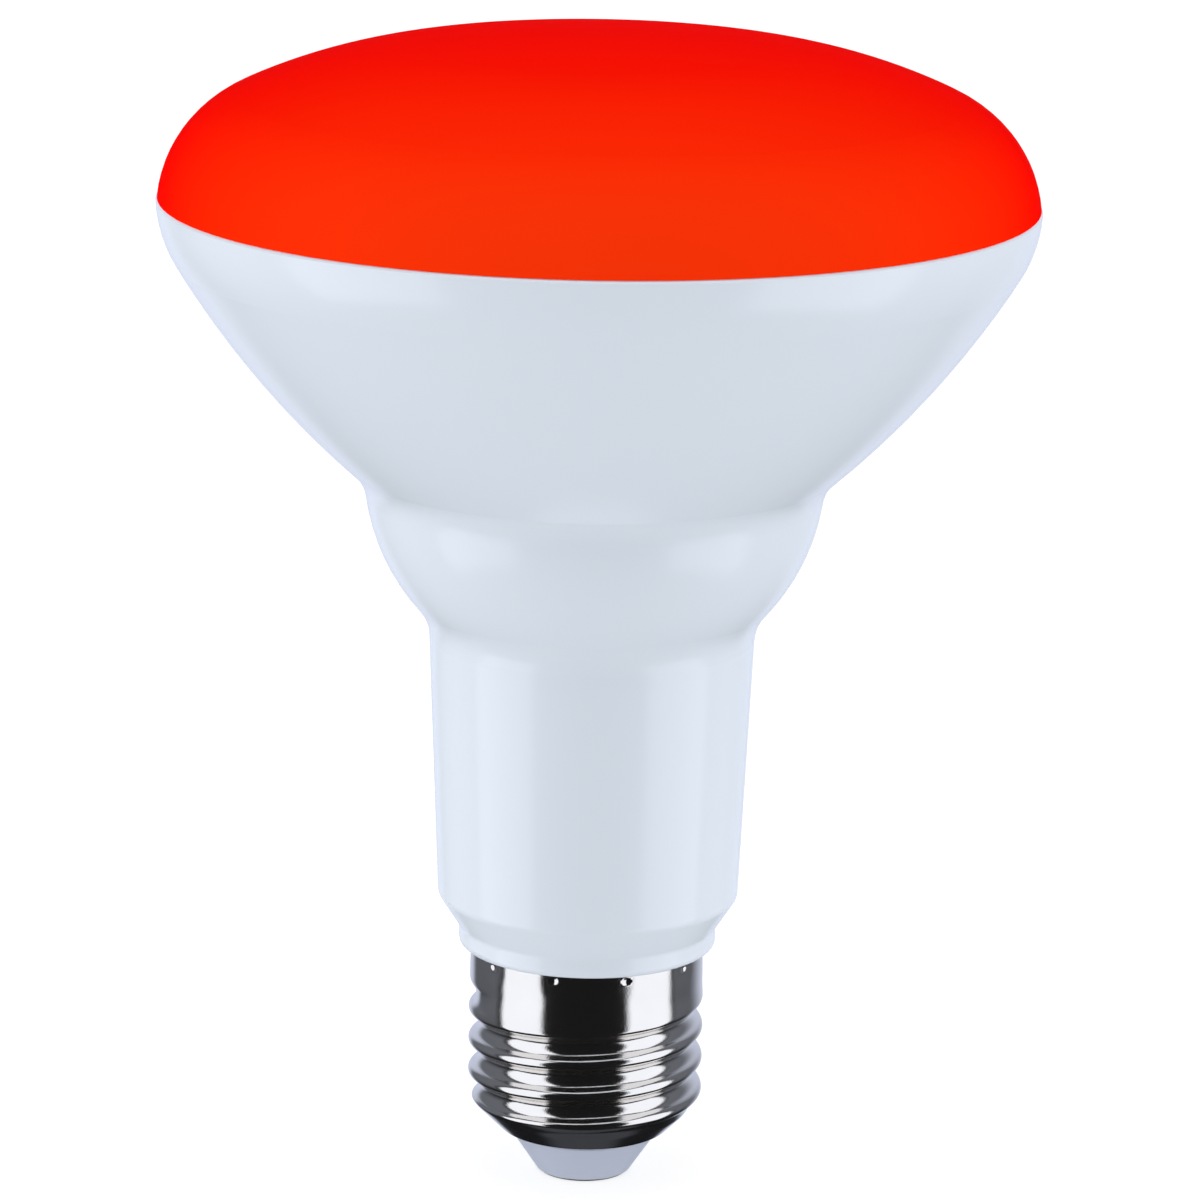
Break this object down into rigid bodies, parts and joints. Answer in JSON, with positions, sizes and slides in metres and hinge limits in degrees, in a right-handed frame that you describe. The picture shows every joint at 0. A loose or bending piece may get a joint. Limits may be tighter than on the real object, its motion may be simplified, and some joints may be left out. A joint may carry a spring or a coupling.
{
  "type": "led reflector bulb",
  "caption": "Reflector bulb with a red domed diffuser lens, a flared white housing with a bulge and neck, and a medium screw base.",
  "frame": {"origin": "centre of the base contact's flat face, the lowest point of the bulb", "axes": "+Z along the bulb's axis from the base contact to the lens; -Y is the side that faces the camera in the picture"},
  "size_m": [0.0952, 0.0952, 0.1275],
  "materials": {
    "contact_metal": "dull plated metal",
    "insulator_white": "satin moulded plastic",
    "shell_nickel": "bright nickel plate on thin rolled sheet",
    "housing_white": "smooth gloss white, moulded",
    "lens_red": "satin translucent red, moulded"
  },
  "bodies": {
    "root": {"centre_contact": "contact_metal", "base_insulator": "insulator_white", "screw_shell": "shell_nickel", "housing": "housing_white", "diffuser_lens": "lens_red"}
  },
  "joints": []
}
